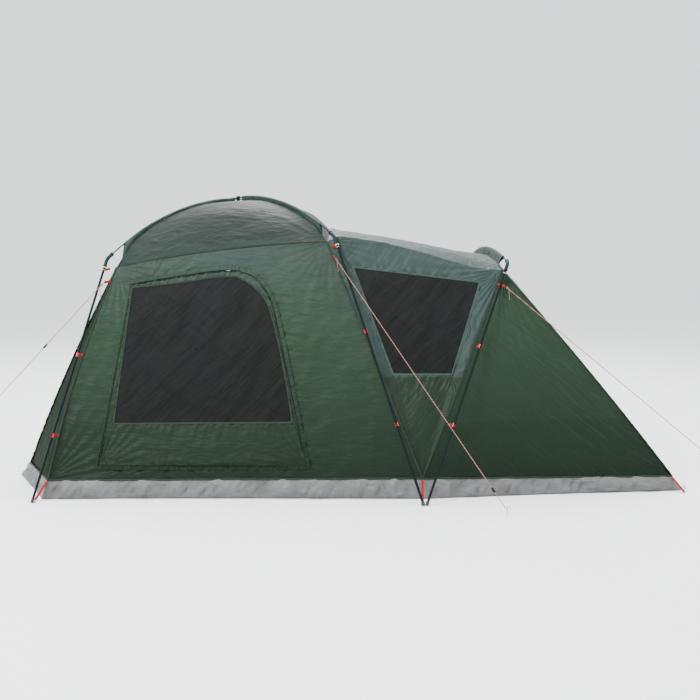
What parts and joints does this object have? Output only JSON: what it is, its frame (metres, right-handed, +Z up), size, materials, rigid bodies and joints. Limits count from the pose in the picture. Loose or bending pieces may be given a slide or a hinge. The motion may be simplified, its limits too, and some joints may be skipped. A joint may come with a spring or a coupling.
{
  "type": "family dome tent on poles",
  "caption": "Pitched family tent: square dome room on crossing poles, lower hoop room with net windows and a sloping tail, held by bent-elbow steel legs and guy lines.",
  "frame": {"origin": "on the ground, midway along and across the pitched tent without its guy lines", "axes": "+X along the tent towards the low tail, +Y towards the rear side, +Z up"},
  "size_m": [5.3543, 3.6859, 2.018],
  "materials": {
    "fibreglass": "black glass-fibre rod, satin",
    "ferrule_metal": "plain drawn steel",
    "elbow_plastic": "dark teal moulded plastic, slight gloss",
    "leg_steel": "dark green powder coat on steel tube",
    "marker_yellow": "yellow moulded ring",
    "red_plastic": "red moulded clip",
    "red_webbing": "red woven webbing",
    "zip_plastic": "black moulded plastic",
    "peg_steel": "galvanised wire",
    "guy_cord": "red and white braided cord",
    "fly_green": "coated polyester, plain weave, dull sheen",
    "net": "black fine insect net",
    "ground_grey": "grey woven polyethylene"
  },
  "bodies": {
    "tent": {"apex_patch": "fly_green", "corner_straps": "red_webbing", "dome_elbows": "elbow_plastic", "dome_roof": "fly_green", "elbow_hooks": "ferrule_metal", "end_gussets": "fly_green", "end_wall": "fly_green", "floor_sheet": "ground_grey", "front_wall": "fly_green", "guy_line_hoop": "guy_cord", "guy_line_left": "guy_cord", "guy_line_mid": "guy_cord", "guy_pegs": "peg_steel", "guy_tabs": "red_webbing", "hoop_elbows": "elbow_plastic", "hoop_pole": "fibreglass", "hoop_room_front": "fly_green", "hoop_room_rear": "fly_green", "hoop_room_roof": "fly_green", "hoop_sleeve": "fly_green", "hub_cross": "elbow_plastic", "leg_caps": "elbow_plastic", "leg_clips": "red_plastic", "leg_hoop_front": "leg_steel", "leg_hoop_rear": "leg_steel", "leg_left_front": "leg_steel", "leg_left_rear": "leg_steel", "leg_mid_front": "leg_steel", "leg_mid_rear": "leg_steel", "marker_rings": "marker_yellow", "mud_wall_ends": "ground_grey", "mud_wall_front": "ground_grey", "mud_wall_rear": "ground_grey", "pole_ferrules": "ferrule_metal", "rear_wall": "fly_green", "red_webbing": "red_webbing", "roof_pole_lower": "fibreglass", "roof_pole_upper": "fibreglass", "roof_ring": "ferrule_metal", "roof_sleeves": "fly_green", "strap_rings": "ferrule_metal", "tail_front": "fly_green", "tail_panel": "fly_green", "tail_pegs": "peg_steel", "tail_rear": "fly_green", "window_nets": "net"},
    "front_door": {"front_door": "fly_green", "front_door_net": "net"},
    "rear_door": {"rear_door": "fly_green", "rear_door_net": "net"},
    "end_door": {"end_door": "fly_green"},
    "front_zip_slider": {"front_zip_slider": "zip_plastic"},
    "rear_zip_slider": {"rear_zip_slider": "zip_plastic"},
    "end_zip_slider": {"end_zip_slider": "zip_plastic"},
    "adjuster_left": {"adjuster_left": "zip_plastic"},
    "adjuster_mid": {"adjuster_mid": "zip_plastic"},
    "adjuster_hoop": {"adjuster_hoop": "zip_plastic"}
  },
  "joints": [
    {"name": "front_door_hinge", "type": "hinge", "parent": "tent", "child": "front_door", "pos_m": [-1.552, -1.4762, 0.205], "axis": [-0.1356, -0.2803, -0.9503], "range_deg": [0, 105]},
    {"name": "front_zip_slide", "type": "slide", "parent": "tent", "child": "front_zip_slider", "axis": [-1, 0, 0], "range_m": [0, 1.1]},
    {"name": "rear_door_hinge", "type": "hinge", "parent": "tent", "child": "rear_door", "pos_m": [-1.552, 1.4762, 0.205], "axis": [0.1356, -0.2803, 0.9503], "range_deg": [0, 105]},
    {"name": "rear_zip_slide", "type": "slide", "parent": "tent", "child": "rear_zip_slider", "axis": [-1, 0, 0], "range_m": [0, 1.1]},
    {"name": "end_door_hinge", "type": "hinge", "parent": "tent", "child": "end_door", "pos_m": [-2.18809, 0.62, 0.15], "axis": [-0.4508, -0.2202, -0.865], "range_deg": [0, 100]},
    {"name": "end_zip_slide", "type": "slide", "parent": "tent", "child": "end_zip_slider", "axis": [0, 1, 0], "range_m": [0, 1]},
    {"name": "adjuster_left_slide", "type": "slide", "parent": "tent", "child": "adjuster_left", "axis": [-0.5846, -0.3956, -0.7083], "range_m": [-0.4, 0.6]},
    {"name": "adjuster_mid_slide", "type": "slide", "parent": "tent", "child": "adjuster_mid", "axis": [0.525, -0.379, -0.7621], "range_m": [-0.4, 0.08]},
    {"name": "adjuster_hoop_slide", "type": "slide", "parent": "tent", "child": "adjuster_hoop", "axis": [0.7177, -0.3172, -0.6199], "range_m": [-0.4, 0.08]}
  ]
}
